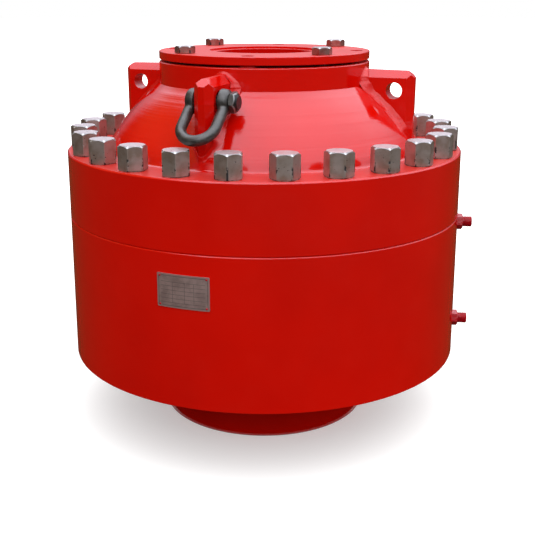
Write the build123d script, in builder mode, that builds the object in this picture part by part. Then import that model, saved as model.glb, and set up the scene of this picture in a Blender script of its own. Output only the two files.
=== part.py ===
from build123d import *
from math import acos, atan2, cos, degrees, hypot, radians, sin, sqrt, tan
import os

os.makedirs("parts", exist_ok=True)

# Annular blowout preventer for a 13 5/8 inch bore at 5,000 psi, in millimetres
# The origin is the centre of the bottom flange's face, and +Z runs up the bore.
# The front lifting lug, which carries the shackle, points along -Y.

# Bore and bottom flange
bore_diameter = 346.1
flange_diameter = 673.1
flange_thickness = 112.7
flange_chamfer = 6.0
flange_hole_edge = 41.25
flange_hole_count = 16
flange_hole_diameter = 44.5
groove_outer_diameter = 402.6
groove_width = 13.7
groove_depth = 14.3
hub_setback = 54.8
hub_length = 106.3

# Lower housing
body_diameter = 1271.0
housing_height = 460.0
parting_chamfer = 3.0
cylinder_wall = 115.5
cylinder_depth = 345.0
mandrel_diameter = 430.0
mandrel_drop = 60.0

# Head
head_flange_thickness = 207.0
head_flange_chamfer = 4.0
dome_rise = 202.5
dome_setback = 123.3
dome_fillet = 16.0
neck_diameter = 673.1
neck_height = 72.0
neck_chamfer = 3.0
throat_length = 120.6

# Screws that hold the head down
head_screw_count = 24
head_screw_edge = 51.5
head_screw_offset = 3.7
head_screw_flats = 75.0
head_screw_head_height = 72.0
head_screw_diameter = 50.0
head_screw_grip = 100.0
# How far each hexagon came to rest from facing the axis, in degrees, repeated where it runs out
screw_turns = (28, 7, 22, 59, 34, 46, 29, 23, 58, 40, 17, 52, 5, 31, 44, 20, 55, 36, 8, 14, 49, 7, 12, 27)

# Cover plate, its gasket and its bolts
cover_gap = 7.0
cover_thickness = 25.0
cover_bore_diameter = 320.0
cover_recess_diameter = 349.0
cover_recess_depth = 7.5
cover_chamfer = 2.0
cover_hole_count = 8
cover_hole_diameter = 41.0
cover_hole_offset = 11.25
cover_bolt_diameter = 36.0
cover_bolt_flats = 55.0
cover_bolt_head_height = 22.5
cover_bolt_grip = 55.0

# Lifting lugs
lug_count = 4
lug_thickness = 60.0
lug_foot_setback = 20.7
lug_drop = 24.0
lug_bevel = 20.0
lug_weld_leg = 20.0
lug_hole_diameter = 50.0
lug_hole_inset = 60.5
lug_hole_drop = 56.5
lug_hole_standoff = 55.5

# Shackle on the front lug
shackle_bar = 32.0
shackle_jaw = 70.0
shackle_eye_diameter = 75.0
shackle_eye_width = 33.0
shackle_eye_round = 12.0
shackle_length = 152.0
shackle_pin_diameter = 38.0
shackle_head_flats = 56.0
shackle_head_width = 22.0
shackle_rest_gap = 5.0

# Moving and inner parts
adapter_thickness = 50.0
adapter_width = 80.0
piston_skirt_height = 190.0
piston_crown_gap = 11.0
piston_crown_rise = 20.0
packer_top_diameter = 394.0
packer_bore_diameter = 352.0
packer_waist = 14.0

# Hydraulic port fittings
port_angle = 15.0
opening_port_drop = 38.0
closing_port_rise = 88.0
port_flats = 46.0
port_hex_width = 19.0
port_stub_diameter = 35.0
port_stub_length = 30.0
port_hole_diameter = 17.0
port_spigot_diameter = 33.0
port_spigot_length = 22.0
port_spotface_depth = 2.0
port_spotface_diameter = 62.0

# Nameplate under the front lug
plate_width = 160.0
plate_height = 98.0
plate_thickness = 2.5
plate_drop = 61.0

# Clearances
running_clearance = 0.5
thread_clearance = 0.2
pin_clearance = 0.3
screw_clearance = 1.5
hex_cone_angle = 40.0
hex_top_share = 0.97
hex_foot_share = 1.03

# Levels and radii that follow from the sizes above
body_radius = body_diameter / 2
bore_radius = bore_diameter / 2
neck_radius = neck_diameter / 2
flange_bolt_circle = flange_diameter - 2 * flange_hole_edge
cover_bolt_circle = neck_diameter - 2 * flange_hole_edge
hub_diameter = flange_bolt_circle - 2 * hub_setback
head_screw_circle = body_diameter - 2 * head_screw_edge
housing_bottom = flange_thickness + hub_length
parting_level = housing_bottom + housing_height
flange_top = parting_level + head_flange_thickness
dome_base = body_radius - dome_setback
neck_base = flange_top + dome_rise
neck_top = neck_base + neck_height
cover_bottom = neck_top + cover_gap
cover_top = cover_bottom + cover_thickness


def sphere_centre(low_reach, low_level, high_reach, high_level):
    """Level of the centre of a sphere on the bore's axis that passes through two circles."""
    rise = high_level - low_level
    return low_level + (high_reach**2 - low_reach**2 + rise**2) / (2 * rise)


def sphere_arc(centre, start, end):
    """Arc from point to point about a centre on the bore's axis, drawn inside a BuildLine block."""
    radius = hypot(start[0], start[1] - centre)
    start_turn = atan2(start[1] - centre, start[0])
    end_turn = atan2(end[1] - centre, end[0])
    middle_turn = (start_turn + end_turn) / 2
    middle = (radius * cos(middle_turn), centre + radius * sin(middle_turn))
    ThreePointArc(start, middle, end)


def hex_head(seat, across_flats, height):
    """Hexagonal head that stands on a plane, with its corners turned to a cone on top and at the foot."""
    corner_radius = across_flats / sqrt(3)
    top_radius = hex_top_share * across_flats / 2
    foot_radius = hex_foot_share * across_flats / 2
    cone_height = (corner_radius - top_radius) * tan(radians(hex_cone_angle))
    foot_height = (corner_radius - foot_radius) * tan(radians(hex_cone_angle))
    upright = Plane(origin=seat.origin, x_dir=seat.x_dir, z_dir=-seat.y_dir)
    with BuildPart() as hexagon:
        with BuildSketch(seat):
            RegularPolygon(corner_radius, 6)
        extrude(amount=height)
        with BuildSketch(upright):
            with BuildLine():
                Polyline(
                    (0, 0),
                    (foot_radius, 0),
                    (corner_radius, foot_height),
                    (corner_radius, height - cone_height),
                    (top_radius, height),
                    (0, height),
                    close=True,
                )
            make_face()
        revolve(axis=Axis(seat.origin, seat.z_dir), mode=Mode.INTERSECT)
    return hexagon.part


def radial_plane(angle, reach, level):
    """Plane whose normal points away from the bore's axis at this angle, with its x axis level."""
    outward = (cos(radians(angle)), sin(radians(angle)), 0)
    sideways = (-sin(radians(angle)), cos(radians(angle)), 0)
    origin = (reach * outward[0], reach * outward[1], level)
    return Plane(origin=origin, x_dir=sideways, z_dir=outward)


def section_plane(angle):
    """Upright plane through the bore's axis, with x pointing outward and y up."""
    outward = (cos(radians(angle)), sin(radians(angle)), 0)
    normal = (sin(radians(angle)), -cos(radians(angle)), 0)
    return Plane(origin=(0, 0, 0), x_dir=outward, z_dir=normal)


# Lower housing: bottom flange, hub and the cylinder that the piston runs in
mandrel_top = parting_level - mandrel_drop
cylinder_bottom = parting_level - cylinder_depth
cylinder_radius = body_radius - cylinder_wall
mandrel_radius = mandrel_diameter / 2
port_seat = body_radius - port_spotface_depth
opening_port_level = parting_level - opening_port_drop
closing_port_level = housing_bottom + closing_port_rise
port_levels = {"opening_port_fitting": opening_port_level, "closing_port_fitting": closing_port_level}
head_screw_start = -90.0 - head_screw_offset
head_screw_step = 360.0 / head_screw_count

with BuildPart() as lower_housing:
    with BuildSketch(Plane.XZ):
        with BuildLine():
            Polyline(
                (bore_radius, 0),
                (flange_diameter / 2, 0),
                (flange_diameter / 2, flange_thickness),
                (hub_diameter / 2, flange_thickness),
                (hub_diameter / 2, housing_bottom),
                (body_radius, housing_bottom),
                (body_radius, parting_level),
                (cylinder_radius, parting_level),
                (cylinder_radius, cylinder_bottom),
                (mandrel_radius, cylinder_bottom),
                (mandrel_radius, mandrel_top),
                (bore_radius, mandrel_top),
                close=True,
            )
        make_face()
        rim = vertices().sort_by_distance((body_radius, parting_level))[0]
        chamfer(rim, parting_chamfer)
        flange_corners = (
            vertices().sort_by_distance((flange_diameter / 2, 0))[0],
            vertices().sort_by_distance((flange_diameter / 2, flange_thickness))[0],
        )
        chamfer(flange_corners, flange_chamfer)
    revolve(axis=Axis.Z)
    with BuildSketch():
        Circle(groove_outer_diameter / 2)
        Circle(groove_outer_diameter / 2 - groove_width, mode=Mode.SUBTRACT)
    extrude(amount=groove_depth, mode=Mode.SUBTRACT)
    with BuildSketch():
        with PolarLocations(flange_bolt_circle / 2, flange_hole_count, 180 / flange_hole_count):
            Circle(flange_hole_diameter / 2)
    extrude(amount=flange_thickness, mode=Mode.SUBTRACT)
    with BuildSketch(Plane.XY.offset(parting_level)):
        with PolarLocations(head_screw_circle / 2, head_screw_count, head_screw_start):
            Circle(head_screw_diameter / 2 + thread_clearance)
    extrude(amount=-head_screw_grip, mode=Mode.SUBTRACT)
    for level in port_levels.values():
        with BuildSketch(radial_plane(port_angle, port_seat, level)):
            Circle(port_spotface_diameter / 2)
        extrude(amount=2 * port_spotface_depth, mode=Mode.SUBTRACT)
        with BuildSketch(radial_plane(port_angle, port_seat, level)):
            Circle(port_spigot_diameter / 2 + thread_clearance)
        extrude(amount=-port_spigot_length - screw_clearance, mode=Mode.SUBTRACT)
lower_housing.part.label = "lower_housing"
export_step(lower_housing.part, "parts/lower_housing.step")

# Head: thick flange, domed crown over the packing element, and the neck above it
dome_centre = sphere_centre(dome_base, flange_top, neck_radius, neck_base)
dome_radius = hypot(dome_base, flange_top - dome_centre)
piston_crown_radius = cylinder_radius - adapter_width
cavity_reach = piston_crown_radius + piston_crown_gap
throat_bottom = neck_top - throat_length
cavity_centre = sphere_centre(cavity_reach, parting_level, bore_radius, throat_bottom)
cavity_radius = hypot(cavity_reach, parting_level - cavity_centre)
gasket_outer = groove_outer_diameter / 2
gasket_inner = gasket_outer - groove_width

with BuildPart() as head:
    with BuildSketch(Plane.XZ):
        with BuildLine():
            Line((bore_radius, neck_top), (neck_radius, neck_top))
            Line((neck_radius, neck_top), (neck_radius, neck_base))
            sphere_arc(dome_centre, (neck_radius, neck_base), (dome_base, flange_top))
            Polyline(
                (dome_base, flange_top),
                (body_radius, flange_top),
                (body_radius, parting_level),
                (cavity_reach, parting_level),
            )
            sphere_arc(cavity_centre, (cavity_reach, parting_level), (bore_radius, throat_bottom))
            Line((bore_radius, throat_bottom), (bore_radius, neck_top))
        make_face()
        chamfer(vertices().sort_by_distance((body_radius, parting_level))[0], parting_chamfer)
        chamfer(vertices().sort_by_distance((body_radius, flange_top))[0], head_flange_chamfer)
        chamfer(vertices().sort_by_distance((neck_radius, neck_top))[0], neck_chamfer)
        fillet(vertices().sort_by_distance((dome_base, flange_top))[0], dome_fillet)
    revolve(axis=Axis.Z)
    with BuildSketch(Plane.XY.offset(neck_top)):
        Circle(gasket_outer)
        Circle(gasket_inner, mode=Mode.SUBTRACT)
    extrude(amount=-groove_depth, mode=Mode.SUBTRACT)
    with BuildSketch(Plane.XY.offset(neck_top)):
        with PolarLocations(cover_bolt_circle / 2, flange_hole_count, cover_hole_offset):
            Circle(cover_bolt_diameter / 2 + thread_clearance)
    extrude(amount=-cover_bolt_grip - screw_clearance, mode=Mode.SUBTRACT)
    with BuildSketch(Plane.XY.offset(parting_level)):
        with PolarLocations(head_screw_circle / 2, head_screw_count, head_screw_start):
            Circle(head_screw_diameter / 2 + screw_clearance)
    extrude(amount=head_flange_thickness, mode=Mode.SUBTRACT)
head.part.label = "head"
export_step(head.part, "parts/head.step")

# Adapter ring: closes the top of the piston's cylinder
adapter_bottom = parting_level - adapter_thickness

with BuildPart() as adapter_ring:
    with BuildSketch(Plane.XY.offset(adapter_bottom)):
        Circle(cylinder_radius - running_clearance)
        Circle(piston_crown_radius + running_clearance, mode=Mode.SUBTRACT)
    extrude(amount=adapter_thickness)
adapter_ring.part.label = "adapter_ring"
export_step(adapter_ring.part, "parts/adapter_ring.step")

# Piston: skirt in the cylinder, crown through the adapter ring, under the packing element
piston_bottom = cylinder_bottom
skirt_top = piston_bottom + piston_skirt_height
crown_top = parting_level + piston_crown_rise
piston_inner = mandrel_radius + running_clearance

with BuildPart() as piston:
    with BuildSketch(Plane.XZ):
        with BuildLine():
            Polyline(
                (piston_inner, piston_bottom),
                (cylinder_radius - running_clearance, piston_bottom),
                (cylinder_radius - running_clearance, skirt_top),
                (piston_crown_radius, skirt_top),
                (piston_crown_radius, crown_top),
                (piston_inner, crown_top),
                close=True,
            )
        make_face()
    revolve(axis=Axis.Z)
piston.part.label = "piston"
export_step(piston.part, "parts/piston.step")

# Packing element: the rubber ring that the piston squeezes in against the pipe
packer_bottom = crown_top
packer_sphere = cavity_radius - running_clearance
packer_low_reach = sqrt(packer_sphere**2 - (packer_bottom - cavity_centre) ** 2)
packer_top_reach = packer_top_diameter / 2
packer_top = cavity_centre + sqrt(packer_sphere**2 - packer_top_reach**2)
packer_bore_radius = packer_bore_diameter / 2

with BuildPart() as packing_element:
    with BuildSketch(Plane.XZ):
        with BuildLine():
            Line((packer_bore_radius, packer_bottom), (packer_low_reach, packer_bottom))
            sphere_arc(cavity_centre, (packer_low_reach, packer_bottom), (packer_top_reach, packer_top))
            Line((packer_top_reach, packer_top), (packer_bore_radius, packer_top))
            ThreePointArc(
                (packer_bore_radius, packer_top),
                (packer_bore_radius + packer_waist, (packer_top + packer_bottom) / 2),
                (packer_bore_radius, packer_bottom),
            )
        make_face()
    revolve(axis=Axis.Z)
packing_element.part.label = "packing_element"
export_step(packing_element.part, "parts/packing_element.step")

# Ring gasket: stands proud of its groove in the neck and carries the cover plate
with BuildPart() as ring_gasket:
    with BuildSketch(Plane.XY.offset(neck_top - groove_depth)):
        Circle(gasket_outer - thread_clearance)
        Circle(gasket_inner + thread_clearance, mode=Mode.SUBTRACT)
    extrude(amount=groove_depth + cover_gap)
ring_gasket.part.label = "ring_gasket"
export_step(ring_gasket.part, "parts/ring_gasket.step")

# Cover plate: recessed bore and eight holes, every other one left open
cover_hole_start = -90.0 + cover_hole_offset

with BuildPart() as cover_plate:
    with BuildSketch(Plane.XY.offset(cover_bottom)):
        Circle(neck_radius)
        Circle(cover_bore_diameter / 2, mode=Mode.SUBTRACT)
        with PolarLocations(cover_bolt_circle / 2, cover_hole_count, cover_hole_start):
            Circle(cover_hole_diameter / 2, mode=Mode.SUBTRACT)
    extrude(amount=cover_thickness)
    with BuildSketch(Plane.XY.offset(cover_top)):
        Circle(cover_recess_diameter / 2)
    extrude(amount=-cover_recess_depth, mode=Mode.SUBTRACT)
    rims = edges().filter_by(GeomType.CIRCLE).group_by(SortBy.RADIUS)[-1]
    chamfer(rims, cover_chamfer)
cover_plate.part.label = "cover_plate"
export_step(cover_plate.part, "parts/cover_plate.step")

# Cover bolts: one in every other hole of the cover plate
cover_hole_step = 360.0 / cover_hole_count
cover_bolt_length = cover_thickness + cover_gap + cover_bolt_grip

for index in range(cover_hole_count // 2):
    angle = cover_hole_start - cover_hole_step + 2 * index * cover_hole_step
    reach = cover_bolt_circle / 2
    place = (reach * cos(radians(angle)), reach * sin(radians(angle)), cover_top)
    turned = angle + screw_turns[index % len(screw_turns)]
    seat = Plane(origin=place, x_dir=(cos(radians(turned)), sin(radians(turned)), 0), z_dir=(0, 0, 1))
    with BuildPart() as cover_bolt:
        add(hex_head(seat, cover_bolt_flats, cover_bolt_head_height))
        with BuildSketch(seat):
            Circle(cover_bolt_diameter / 2)
        extrude(amount=-cover_bolt_length)
    cover_bolt.part.label = f"cover_bolt_{index + 1}"
    export_step(cover_bolt.part, f"parts/cover_bolt_{index + 1}.step")

# Head screws: tall hexagonal heads on the head flange, threaded into the lower housing
head_screw_length = head_flange_thickness + head_screw_grip - screw_clearance

for index in range(head_screw_count):
    angle = head_screw_start + index * head_screw_step
    reach = head_screw_circle / 2
    place = (reach * cos(radians(angle)), reach * sin(radians(angle)), flange_top)
    turned = angle + screw_turns[index % len(screw_turns)]
    seat = Plane(origin=place, x_dir=(cos(radians(turned)), sin(radians(turned)), 0), z_dir=(0, 0, 1))
    with BuildPart() as head_screw:
        add(hex_head(seat, head_screw_flats, head_screw_head_height))
        with BuildSketch(seat):
            Circle(head_screw_diameter / 2)
        extrude(amount=-head_screw_length)
    head_screw.part.label = f"head_screw_{index + 1:02d}"
    export_step(head_screw.part, f"parts/head_screw_{index + 1:02d}.step")

# Lifting lugs: bevelled plates welded to the dome and the neck, with broad welds at their roots
lug_names = ("front", "right", "rear", "left")
lug_bottom = flange_top
lug_top = neck_top - lug_drop
lug_root = neck_radius - lug_thickness
lug_hole_level = lug_top - lug_hole_drop
lug_hole_reach = sqrt((dome_radius + lug_hole_standoff) ** 2 - (lug_hole_level - dome_centre) ** 2)
lug_reach = lug_hole_reach + lug_hole_inset
lug_foot_reach = dome_base - lug_foot_setback

with BuildPart() as head_form:
    with BuildSketch(Plane.XZ):
        with BuildLine():
            Polyline((0, lug_bottom), (0, neck_top), (neck_radius, neck_top), (neck_radius, neck_base))
            sphere_arc(dome_centre, (neck_radius, neck_base), (dome_base, lug_bottom))
            Line((dome_base, lug_bottom), (0, lug_bottom))
        make_face()
    revolve(axis=Axis.Z)

for index in range(lug_count):
    upright = section_plane(-90.0 + index * 360.0 / lug_count)
    with BuildPart() as lug:
        with BuildSketch(upright):
            with BuildLine():
                Polyline(
                    (lug_root, lug_bottom),
                    (lug_foot_reach, lug_bottom),
                    (lug_reach, lug_top),
                    (lug_root, lug_top),
                    close=True,
                )
            make_face()
        extrude(amount=lug_thickness / 2, both=True)
        top_edges = faces().sort_by(Axis.Z)[-1].edges()
        outward = Axis((0, 0, 0), upright.x_dir)
        end_edges = faces().sort_by(outward)[-1].edges()
        root_edges = faces().sort_by(outward)[0].edges()
        base_edges = faces().sort_by(Axis.Z)[0].edges()
        bevelled = [edge for edge in top_edges + end_edges if edge not in root_edges + base_edges]
        chamfer(set(bevelled), lug_bevel)
        add(head_form.part)
        weld_limit = lug_foot_reach - lug_bevel
        welded = [edge for edge in edges(Select.NEW) if (edge @ 0.5).dot(outward.direction) < weld_limit]
        chamfer(welded, lug_weld_leg)
        with BuildSketch(upright):
            with Locations((lug_hole_reach, lug_hole_level)):
                Circle(lug_hole_diameter / 2)
        extrude(amount=lug_thickness / 2, both=True, mode=Mode.SUBTRACT)
        add(head_form.part, mode=Mode.SUBTRACT)
    lug.part.label = f"lifting_lug_{lug_names[index]}"
    export_step(lug.part, f"parts/lifting_lug_{lug_names[index]}.step")

# Shackle: its pin rests low in the front lug's hole, and its bow leans out over a screw's head
pin_level = lug_hole_level - (lug_hole_diameter - shackle_pin_diameter) / 2 + pin_clearance
bow_level = flange_top + head_screw_head_height + shackle_rest_gap + shackle_bar / 2
lean = degrees(acos((pin_level - bow_level) / shackle_length))
shackle_plane = Plane(
    origin=(0, -lug_hole_reach, pin_level),
    x_dir=(1, 0, 0),
    z_dir=(0, -cos(radians(lean)), sin(radians(lean))),
)
leg_offset = shackle_jaw / 2 + shackle_eye_width / 2
leg_length = shackle_length - leg_offset

with BuildPart() as shackle_bow:
    with BuildLine(shackle_plane):
        Line((-leg_offset, 0), (-leg_offset, -leg_length))
        ThreePointArc((-leg_offset, -leg_length), (0, -shackle_length), (leg_offset, -leg_length))
        Line((leg_offset, -leg_length), (leg_offset, 0))
    leg_end = Plane(
        origin=shackle_plane.from_local_coords((-leg_offset, 0, 0)),
        x_dir=(1, 0, 0),
        z_dir=-shackle_plane.y_dir,
    )
    with BuildSketch(leg_end):
        Circle(shackle_bar / 2)
    sweep()
    for side in (-1, 1):
        eye_plane = Plane(
            origin=shackle_plane.from_local_coords((side * shackle_jaw / 2, 0, 0)),
            x_dir=(side, 0, 0),
            z_dir=side * shackle_plane.z_dir,
        )
        with BuildSketch(eye_plane):
            Rectangle(shackle_eye_width, shackle_eye_diameter / 2, align=(Align.MIN, Align.MIN))
            outer_corner = vertices().sort_by_distance((shackle_eye_width, shackle_eye_diameter / 2))[0]
            fillet(outer_corner, shackle_eye_round)
        revolve(axis=Axis(shackle_plane.origin, (1, 0, 0)))
    middle = Plane(origin=shackle_plane.origin, x_dir=shackle_plane.y_dir, z_dir=(1, 0, 0))
    with BuildSketch(middle):
        Circle(shackle_pin_diameter / 2 + pin_clearance)
    extrude(amount=shackle_jaw / 2 + shackle_eye_width, both=True, mode=Mode.SUBTRACT)
    with BuildSketch(middle):
        Circle(shackle_eye_diameter / 2)
    extrude(amount=shackle_jaw / 2, both=True, mode=Mode.SUBTRACT)
shackle_bow.part.label = "shackle_bow"
export_step(shackle_bow.part, "parts/shackle_bow.step")

pin_half = shackle_jaw / 2 + shackle_eye_width

with BuildPart() as shackle_pin:
    pin_seat = Plane(
        origin=shackle_plane.from_local_coords((pin_half, 0, 0)),
        x_dir=shackle_plane.y_dir,
        z_dir=(1, 0, 0),
    )
    add(hex_head(pin_seat, shackle_head_flats, shackle_head_width))
    with BuildSketch(pin_seat):
        Circle(shackle_pin_diameter / 2)
    extrude(amount=-2 * pin_half)
shackle_pin.part.label = "shackle_pin"
export_step(shackle_pin.part, "parts/shackle_pin.step")

# Hydraulic port fittings: a hexagon on a spotface, a spigot into the wall and an open stub
for name, level in port_levels.items():
    seat = radial_plane(port_angle, port_seat, level)
    with BuildPart() as fitting:
        add(hex_head(seat, port_flats, port_spotface_depth + port_hex_width))
        with BuildSketch(seat):
            Circle(port_stub_diameter / 2)
        extrude(amount=port_spotface_depth + port_hex_width + port_stub_length)
        with BuildSketch(seat):
            Circle(port_spigot_diameter / 2)
        extrude(amount=-port_spigot_length)
        with BuildSketch(seat.offset(-port_spigot_length)):
            Circle(port_hole_diameter / 2)
        extrude(amount=2 * body_radius, mode=Mode.SUBTRACT)
    fitting.part.label = name
    export_step(fitting.part, f"parts/{name}.step")

# Nameplate: thin plate that follows the housing's wall
plate_level = parting_level - plate_drop - plate_height
half_sweep = plate_width / body_diameter

with BuildPart() as nameplate:
    with BuildSketch(Plane.XY.offset(plate_level)):
        with BuildLine():
            outer = body_radius + plate_thickness
            CenterArc((0, 0), body_radius, -90 - degrees(half_sweep), 2 * degrees(half_sweep))
            CenterArc((0, 0), outer, -90 - degrees(half_sweep), 2 * degrees(half_sweep))
            for side in (-1, 1):
                across = side * sin(half_sweep)
                along = -cos(half_sweep)
                Line((body_radius * across, body_radius * along), (outer * across, outer * along))
        make_face()
    extrude(amount=plate_height)
nameplate.part.label = "nameplate"
export_step(nameplate.part, "parts/nameplate.step")
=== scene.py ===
# %% [markdown]
# # Annular blowout preventer: the looks
# The part is a round pressure vessel that sits on a well. It is turned from heavy forgings, painted
# in a thick red enamel, and closed by twenty-four tall bright screws. The CAD model says where every
# piece is. This lesson gives each piece the shape and the finish that the eye expects.

# %% The frame
import math

import bmesh
import bpy
from mathutils import Matrix, Vector, noise


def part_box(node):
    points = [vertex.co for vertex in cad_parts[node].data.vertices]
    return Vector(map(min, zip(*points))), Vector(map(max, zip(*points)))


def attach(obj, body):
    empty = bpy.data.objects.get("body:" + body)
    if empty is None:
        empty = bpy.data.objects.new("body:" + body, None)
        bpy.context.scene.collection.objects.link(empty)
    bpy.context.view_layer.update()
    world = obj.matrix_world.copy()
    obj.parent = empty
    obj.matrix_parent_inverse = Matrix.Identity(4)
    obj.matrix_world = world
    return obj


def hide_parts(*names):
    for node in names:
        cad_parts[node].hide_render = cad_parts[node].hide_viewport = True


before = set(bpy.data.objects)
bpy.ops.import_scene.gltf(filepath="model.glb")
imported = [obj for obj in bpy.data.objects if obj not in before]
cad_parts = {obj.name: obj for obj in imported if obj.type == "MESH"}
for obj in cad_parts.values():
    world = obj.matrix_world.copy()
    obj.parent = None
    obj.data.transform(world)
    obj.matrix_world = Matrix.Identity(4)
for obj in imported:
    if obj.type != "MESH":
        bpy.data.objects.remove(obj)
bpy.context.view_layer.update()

# %% [markdown]
# ## Sizes, in metres
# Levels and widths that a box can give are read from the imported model, so they can't drift. The rest
# are the drawing's own sizes, written once here. The crown and the cavity under it are spheres on
# the bore's axis, and such a sphere is fixed by any two circles that it runs through.

# %% Sizes
MM = 0.001
body_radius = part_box("lower_housing")[1].x
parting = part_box("head")[0].z
neck_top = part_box("head")[1].z
cover_low, cover_top = (corner.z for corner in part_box("cover_plate"))
bore = 173.05 * MM
flange_radius, flange_thick = 336.55 * MM, 112.7 * MM
hub_radius, housing_bottom = 240.5 * MM, 219 * MM
groove_in, groove_out, groove_deep = 187.6 * MM, 201.3 * MM, 14.3 * MM
cylinder_radius, cylinder_floor = 520 * MM, parting - 345 * MM
mandrel_radius, mandrel_top = 215 * MM, parting - 60 * MM
flange_top = parting + 207 * MM
neck_radius, neck_base = 336.55 * MM, flange_top + 202.5 * MM
dome_base, cavity_reach, throat_low = 512.2 * MM, 451 * MM, neck_top - 120.6 * MM
screw_circle, bolt_circle = 584 * MM, 295.3 * MM


def sphere_through(low_reach, low_level, high_reach, high_level):
    """The level of the centre, and the radius, of a sphere on the bore's axis through two circles."""
    rise = high_level - low_level
    centre = low_level + (high_reach**2 - low_reach**2 + rise**2) / (2 * rise)
    return centre, math.hypot(low_reach, low_level - centre)


dome_centre, dome_radius = sphere_through(dome_base, flange_top, neck_radius, neck_base)
cavity_centre, cavity_radius = sphere_through(cavity_reach, parting, bore, throat_low)
print("dome centre", round(dome_centre, 4), "radius", round(dome_radius, 4))

# %% [markdown]
# ## Camera
# The photograph looks slightly down on the vessel from about three metres, a little to the right of
# the front lug. A camera could be placed by eye, but these numbers were fitted to the picture's own
# edges, so that a size measured in the render can be set against the photograph.

# %% Camera
lens_data = bpy.data.cameras.new("camera")
lens_data.lens, lens_data.sensor_width = 63.93, 36.0
lens_data.shift_x, lens_data.shift_y = 0.0059, -0.057
lens_data.clip_end = 200.0
camera = bpy.data.objects.new("camera", lens_data)
camera.location = (1.1042, -2.8992, 1.3907)
camera.rotation_euler = (math.radians(90 - 14.82), 0, math.radians(20.85))
bpy.context.scene.collection.objects.link(camera)
bpy.context.scene.camera = camera
bpy.context.scene.view_settings.view_transform = "Standard"
print("camera lens", lens_data.lens, "mm")

# %% [markdown]
# ## Small helpers for materials
# A material is a tree of nodes. It could be wired socket by socket, but then one recipe fills a page.
# Here every helper takes a number, a colour or another node's output, and one function decides
# whether that is a setting or a link, so a recipe can be read aloud.

# %% Nodes and links


def feed(tree, socket, value):
    """Gives a socket a constant, or a link from another socket."""
    if isinstance(value, bpy.types.NodeSocket):
        tree.links.new(value, socket)
    elif value is not None:
        is_colour = isinstance(value, tuple) and len(socket.default_value) == 4
        socket.default_value = (*value, 1.0) if is_colour else value


def feed_all(tree, made, **inputs):
    """Feeds several inputs of a node by name, with _ for a space, and returns the node."""
    for name, value in inputs.items():
        feed(tree, made.inputs[name.replace("_", " ")], value)
    return made


def node(tree, kind, settings=None, **inputs):
    """Adds a node, with its settings and its inputs by name."""
    made = tree.nodes.new("ShaderNode" + kind)
    for name, value in (settings or {}).items():
        setattr(made, name, value)
    return feed_all(tree, made, **inputs)


print("nodes and links ready")

# %% Arithmetic and mixing


def maths(tree, operation, first, second=None):
    """One step of arithmetic on a value."""
    made = node(tree, "Math", {"operation": operation})
    feed(tree, made.inputs[0], first)
    feed(tree, made.inputs[1], second)
    return made.outputs[0]


def times(tree, first, second):
    """One value times another, which joins two masks or scales one."""
    return maths(tree, "MULTIPLY", first, second)


def blend(tree, factor, first, second):
    """Mixes two colours."""
    made = node(tree, "Mix", {"data_type": "RGBA"})
    feed(tree, made.inputs[0], factor)
    feed(tree, made.inputs[6], first)
    feed(tree, made.inputs[7], second)
    return made.outputs[2]


def ramp(tree, value, low, high, to_low=0.0, to_high=1.0):
    """Stretches a value from one range to another, and stops at its ends."""
    made = node(tree, "MapRange", {"interpolation_type": "SMOOTHSTEP"}, Value=value)
    made.inputs["From Min"].default_value, made.inputs["From Max"].default_value = low, high
    feed(tree, made.inputs["To Min"], to_low)
    feed(tree, made.inputs["To Max"], to_high)
    return made.outputs["Result"]


print("arithmetic and mixing ready")

# %% Patterns


def object_place(tree):
    """Object coordinates, which are the part's own metres because every piece sits at the origin."""
    return node(tree, "TexCoord").outputs["Object"]


def cloud(tree, vector, scale, detail=3.0, roughness=0.55, stretch=None, move=None):
    """Noise on a vector, which may be stretched or moved first."""
    if stretch or move:
        mapping = node(tree, "Mapping", Vector=vector)
        mapping.inputs["Scale"].default_value = stretch or (1, 1, 1)
        mapping.inputs["Location"].default_value = move or (0, 0, 0)
        vector = mapping.outputs[0]
    return node(tree, "TexNoise", Vector=vector, Scale=scale, Detail=detail, Roughness=roughness).outputs[0]


def towards(tree, vector, direction):
    """How far a vector reaches in a direction."""
    made = node(tree, "VectorMath", {"operation": "DOT_PRODUCT"}, Vector=vector)
    made.inputs[1].default_value = direction
    return made.outputs["Value"]


def bump(tree, height, distance, normal=None):
    """A normal that follows a height, which is in units of the distance in metres."""
    return node(tree, "Bump", Height=height, Distance=distance, Normal=normal).outputs[0]


print("patterns ready")

# %% Groups and materials


def new_group(name, ins, outs):
    """A node group with named inputs and outputs."""
    tree = bpy.data.node_groups.new(name, "ShaderNodeTree")
    for label, kind, value in ins:
        socket = tree.interface.new_socket(label, in_out="INPUT", socket_type="NodeSocket" + kind)
        if value is not None:
            socket.default_value = value
    for label, kind in outs:
        tree.interface.new_socket(label, in_out="OUTPUT", socket_type="NodeSocket" + kind)
    return tree, tree.nodes.new("NodeGroupInput").outputs, tree.nodes.new("NodeGroupOutput").inputs


def use_group(tree, group, **inputs):
    """Places a group in a material, with its inputs by name."""
    made = tree.nodes.new("ShaderNodeGroup")
    made.node_tree = group
    return feed_all(tree, made, **inputs).outputs


def new_material(name, metallic, **constants):
    """A material with one Principled shader. Constants go straight on the shader's own sockets."""
    made = bpy.data.materials.new(name)
    made.use_nodes = True
    tree = made.node_tree
    shader = tree.nodes["Principled BSDF"]
    return made, tree, feed_all(tree, shader, Metallic=metallic, **constants)


print("groups and materials ready")

# %% [markdown]
# ## Effects that several finishes share
# Thick paint is never quite flat: it dries with a soft orange-peel skin over slow waves. Bare steel
# has patches of oil and handling. Both could be copied into every material, but each is one group
# here, so a change in it reaches every finish that uses it.

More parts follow.
